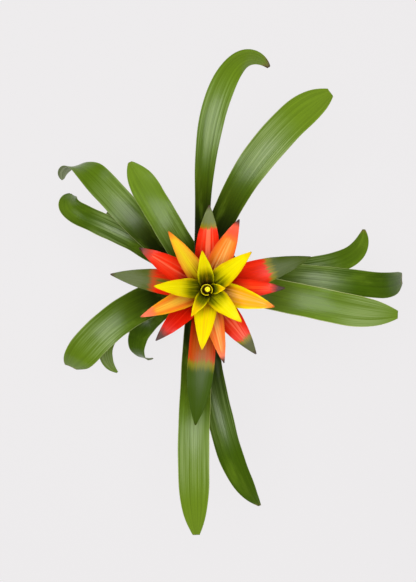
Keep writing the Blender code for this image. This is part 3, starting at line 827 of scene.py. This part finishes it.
def bract_tissue():
    """The colour, gloss and ribs of a bract: foot, body, stripe with painted sheen, edge, the band that
    turns, and the tip, with painted shade towards the foot.
    """
    numbers = ("Across", "Along", "Under", "Seed", "Foot end", "Tip from", "Dark", "Middle", "Border")
    colours = ("Foot", "Body", "Stripe", "Edge", "Turn", "Tip", "Dark tip")
    group, given, out = tissue_group("bract_tissue", numbers, colours)
    across, up_bract, under, seed = (given[label] for label in numbers[:4])
    from_middle = maths(group, "ABSOLUTE", maths(group, "MULTIPLY_ADD", across, 2.0, -1.0))
    broad = streaks(group, across, up_bract, seed, 11.0, 1.3)
    fine = streaks(group, across, up_bract, seed, 55.0, 3.0, 1.0)
    wander = maths(group, "MULTIPLY_ADD", broad, 0.08, -0.04)
    reached = maths(group, "ADD", up_bract, wander)
    past_foot = maths(group, "SUBTRACT", reached, given["Foot end"])
    flesh = paint(group, ramp(group, past_foot, -0.16, 0.12), given["Foot"], given["Body"])
    # A streaky stripe down the middle, in its pale colours a painted sheen, and a border along each edge
    centre = ramp(group, from_middle, 0.0, 0.75, 1, 0)
    centre = maths(group, "MULTIPLY", centre, ramp(group, broad, 0.35, 0.62))
    flesh = paint(group, maths(group, "MULTIPLY", centre, given["Middle"]), flesh, given["Stripe"])
    border = maths(group, "MULTIPLY", ramp(group, from_middle, 0.62, 0.98), given["Border"])
    border = maths(group, "MULTIPLY", border, ramp(group, past_foot, -0.25, 0.05, 0.5, 1))
    flesh = paint(group, border, flesh, given["Edge"])
    # The toothed line where the body turns to the colour of the tip, then the dark end
    past_tip = maths(group, "SUBTRACT", reached, given["Tip from"])
    past_tip = maths(group, "MULTIPLY_ADD", fine, 0.08, maths(group, "SUBTRACT", past_tip, 0.04))
    flesh = paint(group, ramp(group, past_tip, -0.040, -0.005), flesh, given["Turn"])
    flesh = paint(group, ramp(group, past_tip, -0.005, 0.050), flesh, given["Tip"])
    dark_from = maths(group, "SUBTRACT", 1.0, given["Dark"])
    past_dark = maths(group, "SUBTRACT", up_bract, dark_from)
    flesh = paint(group, ramp(group, past_dark, -0.03, 0.04), flesh, given["Dark tip"])
    value = maths(group, "MULTIPLY_ADD", fine, 0.40, 0.80)
    # Painted shade: the colour darkens to a quarter towards the foot, where the bracts above cover it
    value = maths(group, "MULTIPLY", value, ramp(group, past_foot, -0.50, -0.16, 0.25, 1))
    flesh = wire(group, "ShaderNodeHueSaturation", None, None, value, None, flesh).outputs[0]
    flesh = paint(group, maths(group, "MULTIPLY", under, 0.25), flesh, given["Foot"])
    group.links.new(flesh, out["Colour"])
    gloss = maths(group, "MULTIPLY_ADD", broad, 0.14, 0.20)
    group.links.new(maths(group, "MULTIPLY_ADD", under, 0.12, gloss), out["Roughness"])
    ridges = maths(group, "MULTIPLY_ADD", broad, 0.5, maths(group, "MULTIPLY", fine, 0.4))
    group.links.new(ridges, out["Height"])
    return group


bract_group = bract_tissue()
OLIVE = colour(110, 116, 3)
LEAFY = colour(92, 108, 36)
TURNING = colour(132, 126, 8)
PURPLE = colour(66, 34, 26)
for index, bract in enumerate(STALK_BRACTS):
    height = STALK_TOP_BRACT - STALK_SPACING * index
    size = (BRACT_THICKNESS, bract_outline, STALK_ROWS, BRACT_COLUMNS, STALK_RIPPLE)
    mesh = blade_mesh(bract, height, *size, index)
    looks = {"Foot end": 0.1, "Tip from": 0.9, "Dark": 0.02, "Middle": 0.3, "Border": 0.4}
    looks["Seed"] = 90 + index * 3.1
    flush = colour(150 - 20 * index, 92 + 8 * index, 38)
    looks.update(Foot=colour(120, 128, 60), Body=LEAFY, Stripe=flush, Edge=flush, Turn=LEAFY, Tip=LEAFY)
    looks["Dark tip"] = PURPLE
    material = dress_blade(bract.name, bract_group, looks, STALK_SPECULAR, BRACT_RIB_DEPTH)
    add_piece(bract.name, mesh, material, "leaf_green", bract.name)


# Star: the coloured bracts of the flower head, in a spiral, the outer ones first. They run from red with
# green tips, through orange, to clear yellow with an olive foot at the heart.

BRACT_SPACING = 0.0042
STAR_ROWS = 64
STAR_RIPPLE = 0.0003
STAR_SPECULAR = 0.12
YELLOW_COUNT, ORANGE_COUNT = 8, 4
BRACTS = (
    Blade("bract_01", 0.0175, 0.0060, (3, 3, 3), (85, 72, 20)),
    Blade("bract_02", 0.0306, 0.0070, (241, 239, 238), (84, 66, 26)),
    Blade("bract_03", 0.0370, 0.0085, (98, 98, 98), (84, 64, 28)),
    Blade("bract_04", 0.0453, 0.0105, (-44, -44, -44), (83, 60, 26)),
    Blade("bract_05", 0.0513, 0.0100, (177, 177, 177), (82, 56, 24)),
    Blade("bract_06", 0.0555, 0.0110, (40, 40, 40), (81, 52, 22)),
    Blade("bract_07", 0.0593, 0.0115, (-95, -95, -95), (80, 48, 18)),
    Blade("bract_08", 0.0675, 0.0100, (124, 124, 124), (79, 44, 16)),
    Blade("bract_09", 0.0685, 0.0120, (-15, -15, -15), (78, 42, 12)),
    Blade("bract_10", 0.0713, 0.0100, (203, 203, 203), (77, 40, 12)),
    Blade("bract_11", 0.0757, 0.0125, (65, 65, 65), (76, 38, 10)),
    Blade("bract_12", 0.0765, 0.0100, (-77, -77, -77), (75, 36, 8)),
    Blade("bract_13", 0.0790, 0.0125, (149, 149, 149), (75, 34, 6)),
    Blade("bract_14", 0.0795, 0.0105, (0, 0, 0), (74, 32, 6)),
    Blade("bract_15", 0.0747, 0.0115, (226, 226, 226), (74, 30, 4)),
    Blade("bract_16", 0.0850, 0.0135, (88, 88, 88), (73, 28, 2)),
    Blade("bract_17", 0.0854, 0.0135, (-53, -53, -53), (73, 26, 0)),
    Blade("bract_18", 0.1000, 0.0135, (172, 172, 172), (72, 22, -4)),
    Blade("bract_19", 0.1135, 0.0145, (16, 16, 17), (71, 18, -8)),
    Blade("bract_20", 0.1440, 0.0143, (-93, -94, -96), (70, 12, -12), late=0.17),
)
YELLOW = colour(250, 232, 2)
LEMON = colour(253, 244, 12)
GOLD = colour(250, 204, 4)
AMBER = colour(252, 176, 20)
ORANGE = colour(250, 132, 36)
# Apricot and salmon are laid in the stripes of the orange and red bracts as painted sheen
APRICOT = colour(255, 192, 104)
SALMON = colour(255, 122, 84)
SCARLET = colour(244, 48, 18)
RED = colour(216, 24, 4)
# Maroon at the foot of the red bracts is partly their own dark red, partly painted shade
MAROON = colour(110, 14, 2)
CORAL = colour(248, 92, 60)
RUSSET = colour(180, 56, 6)
BURNT = colour(160, 50, 4)
COPPER = colour(190, 80, 14)
BRONZE = colour(150, 96, 30)
# Foot, body, stripe (in pale colours a painted sheen), edge and tip colours, where the foot ends and the tip
# begins, the dark end's length and how strong the stripe and the border are
STAR_LOOKS = {
    "bract_01": (OLIVE, GOLD, OLIVE, YELLOW, YELLOW, 0.78, 2.0, 0.0, 0.3, 1.0),
    "bract_02": (OLIVE, GOLD, OLIVE, YELLOW, YELLOW, 0.74, 2.0, 0.0, 0.2, 1.0),
    "bract_03": (colour(84, 88, 2), YELLOW, GOLD, LEMON, GOLD, 0.64, 0.95, 0.0, 0.4, 0.9),
    "bract_04": (OLIVE, YELLOW, LEMON, GOLD, GOLD, 0.58, 0.95, 0.0, 0.4, 0.6),
    "bract_05": (OLIVE, YELLOW, LEMON, GOLD, YELLOW, 0.56, 2.0, 0.0, 0.4, 0.5),
    "bract_06": (OLIVE, YELLOW, LEMON, GOLD, GOLD, 0.50, 0.93, 0.0, 0.4, 0.7),
    "bract_07": (colour(150, 116, 3), YELLOW, AMBER, GOLD, GOLD, 0.48, 0.93, 0.0, 0.5, 0.6),
    "bract_08": (colour(160, 90, 4), colour(252, 196, 44), LEMON, ORANGE, ORANGE, 0.48, 0.92, 0.0, 0.5, 0.7),
    "bract_09": (colour(150, 80, 4), AMBER, APRICOT, YELLOW, ORANGE, 0.48, 0.93, 0.01, 0.9, 0.9),
    "bract_10": (colour(180, 84, 6), ORANGE, colour(255, 200, 64), AMBER, SALMON, 0.42, 0.86, 0.01, 1.0, 0.8),
    "bract_11": (BURNT, ORANGE, APRICOT, colour(240, 96, 40), CORAL, 0.46, 0.80, 0.06, 0.9, 0.8),
    "bract_12": (RUSSET, colour(250, 120, 52), APRICOT, ORANGE, SALMON, 0.46, 0.9, 0.06, 0.9, 0.6),
    "bract_13": (MAROON, SCARLET, SALMON, RED, colour(160, 56, 40), 0.44, 0.88, 0.05, 0.7, 0.5),
    "bract_14": (MAROON, SCARLET, colour(255, 88, 30), RED, PURPLE, 0.44, 0.88, 0.05, 0.7, 0.5),
    "bract_15": (MAROON, RED, SCARLET, SCARLET, colour(80, 34, 18), 0.44, 0.86, 0.05, 0.4, 0.4),
    "bract_16": (MAROON, SCARLET, SALMON, RED, colour(104, 116, 56), 0.50, 0.79, 0.04, 1.0, 0.4),
    "bract_17": (MAROON, SCARLET, SALMON, RED, colour(76, 82, 24), 0.48, 0.82, 0.03, 1.0, 0.4),
    "bract_18": (MAROON, SCARLET, LEAFY, RED, colour(84, 98, 38), 0.36, 0.62, 0.03, 1.0, 0.3),
    "bract_19": (MAROON, SCARLET, RED, RED, colour(70, 88, 16), 0.40, 0.665, 0.0, 0.7, 0.5),
    "bract_20": (MAROON, COPPER, BRONZE, RED, colour(64, 88, 16), 0.42, 0.61, 0.0, 0.7, 0.5),
}
for index, bract in enumerate(BRACTS):
    height = HEAD_TOP - BRACT_SPACING * index
    size = (BRACT_THICKNESS, bract_outline, STAR_ROWS, BRACT_COLUMNS, STAR_RIPPLE)
    mesh = blade_mesh(bract, height, *size, index * 2.3)
    looks = dict(zip(("Foot", "Body", "Stripe", "Edge", "Tip"), STAR_LOOKS[bract.name]))
    looks.update(zip(("Foot end", "Tip from", "Dark", "Middle", "Border"), STAR_LOOKS[bract.name][5:]))
    looks["Seed"] = index * 5.7
    looks["Dark tip"] = PURPLE
    looks["Turn"] = [(body + tip) / 2 for body, tip in zip(looks["Body"], looks["Tip"])]
    if bract.name in ("bract_16", "bract_17", "bract_19", "bract_20"):
        looks["Turn"] = TURNING
    material = dress_blade(bract.name, bract_group, looks, STAR_SPECULAR, BRACT_RIB_DEPTH)
    slot = "bract_red"
    if index < YELLOW_COUNT + ORANGE_COUNT:
        slot = "bract_yellow" if index < YELLOW_COUNT else "bract_orange"
    add_piece(bract.name, mesh, material, slot, bract.name)


# Heart: the youngest bract, still rolled in a ring, and the tight yellow bud that it holds. Both are
# turned shapes, the ring left open where one edge overlaps the other.

HEART_TOP = 0.391
HEART_FOOT = 0.3766
HEART_RADIUS = 0.0058
BUD_FOOT = 0.3764
ROLL_STEPS = 72
ROLL_TIGHTENING = 0.12
LIP_LIFT = 0.0012


def rolled_mesh(name, centre, profile, turn_from, turn, thickness):
    """A thin rolled sheet with a rounded lip: the profile, turned part of the way round."""
    loop = [(radius + thickness / 2, height) for radius, height in profile]
    loop += [(radius - thickness / 2, height) for radius, height in reversed(profile)]
    verts, faces = [], []
    for step in range(ROLL_STEPS + 1):
        angle = turn_from + turn * step / ROLL_STEPS
        tight = 1 - ROLL_TIGHTENING * step / ROLL_STEPS
        for radius, height in loop:
            lift = LIP_LIFT * math.sin(angle * 1.5) * smooth((height - profile[0][1]) / 0.012)
            spot = Vector((radius * tight * math.cos(angle), radius * tight * math.sin(angle), height + lift))
            verts.append(centre + spot)
    size = len(loop)
    for step in range(ROLL_STEPS):
        for corner in range(size):
            after = (corner + 1) % size
            near, far = step * size, (step + 1) * size
            faces.append((near + corner, far + corner, far + after, near + after))
    faces.append(tuple(range(size)))
    faces.append(tuple(ROLL_STEPS * size + corner for corner in reversed(range(size))))
    mesh = bpy.data.meshes.new(name)
    mesh.from_pydata(verts, [], faces)
    mesh.shade_smooth()
    return mesh


def heart_material(name, low, high, dark, light):
    material, tree, shader = new_material(name, 0.35)
    place = object_place(tree)
    speckle = noise(tree, place, 900, 3)
    skin = paint(tree, ramp(tree, height_of(tree, place), low, high), dark, light)
    skin = paint(tree, ramp(tree, speckle, 0.5, 0.8, 0, 0.4), skin, AMBER)
    tree.links.new(skin, shader.inputs["Base Color"])
    bump(tree, shader, speckle, 0.3, 0.0001)
    return material


head = stem_axis(STEM_TOP)
ring_centre = Vector((head.x - 0.0010, head.y - 0.0008, 0))
ring_profile = [
    (HEART_RADIUS * (0.72 + 0.28 * smooth(share)), HEART_FOOT + (HEART_TOP - HEART_FOOT) * share)
    for share in [k / 14 for k in range(15)]
]
ring_turns = (math.radians(-35), math.radians(330))
ring = rolled_mesh("heart_bract", ring_centre, ring_profile, *ring_turns, BRACT_THICKNESS)
ring_skin = heart_material("heart_tissue", 0.380, 0.389, colour(70, 80, 6), YELLOW)
add_piece("heart_bract", ring, ring_skin, "bract_yellow", "heart_bract")
bud_profile = [(0, HEART_TOP - 0.0012), (0.0008, HEART_TOP - 0.0012), (0.0013, HEART_TOP - 0.0004)]
bud_profile += [(0.0019, HEART_TOP), (0.0025, HEART_TOP - 0.0004), (0.0027, HEART_TOP - 0.0016)]
bud_profile += [(0.0026, 0.3840), (0.0024, BUD_FOOT), (0, BUD_FOOT)]
bud = turned_mesh("flower_bud", eased(bud_profile, 0.0004), 48)
bud.transform(Matrix.Translation((head.x, head.y, 0)))
bud_skin = heart_material("bud_tissue", 0.384, 0.3905, colour(150, 140, 6), LEMON)
add_piece("flower_bud", bud, bud_skin, "bract_yellow", "flower_bud")


# Studio: a plain pale floor that runs out of sight, a large soft light straight above with a weak one at
# the side, and the camera that looks straight down on the plant.

FLOOR_HALF = 40
floor_mesh = bpy.data.meshes.new("floor")
floor_corners = [(x * FLOOR_HALF, y * FLOOR_HALF, 0) for x, y in ((-1, -1), (1, -1), (1, 1), (-1, 1))]
floor_mesh.from_pydata(floor_corners, [], [(0, 1, 2, 3)])
floor = bpy.data.objects.new("floor", floor_mesh)
bpy.context.scene.collection.objects.link(floor)
floor.location.z = -0.0005
floor_paint, tree, shader = new_material("floor_paint", 0.9, specular_ior_level=0.1)
shader.inputs["Base Color"].default_value = (0.06, 0.059, 0.0594, 1)
shader.inputs["Emission Color"].default_value = (1.0, 0.98, 0.99, 1)
shader.inputs["Emission Strength"].default_value = 0.80
floor_mesh.materials.append(floor_paint)

world = bpy.data.worlds.new("studio")
bpy.context.scene.world = world
world.use_nodes = True
world.node_tree.nodes["Background"].inputs["Color"].default_value = (1, 1, 1, 1)
world.node_tree.nodes["Background"].inputs["Strength"].default_value = 0.12


def softbox(name, place, target, width, power):
    data = bpy.data.lights.new(name, "AREA")
    data.shape = "SQUARE"
    data.size = width
    data.energy = power
    made = bpy.data.objects.new(name, data)
    bpy.context.scene.collection.objects.link(made)
    made.location = place
    made.rotation_euler = (Vector(target) - Vector(place)).to_track_quat("-Z", "Y").to_euler()


softbox("overhead", (-0.1, 0.1, 2.2), (0, 0, 0.2), 1.2, 35)
softbox("side", (-1.6, 1.2, 1.6), (0, 0, 0.25), 1.0, 8)

camera_data = bpy.data.cameras.new("camera")
camera_data.lens = 57.2
camera_data.sensor_width = 36
camera = bpy.data.objects.new("camera", camera_data)
bpy.context.scene.collection.objects.link(camera)
camera.location = (0.0084, -0.0104, 1.30)
bpy.context.scene.camera = camera
bpy.context.scene.view_settings.view_transform = "Standard"
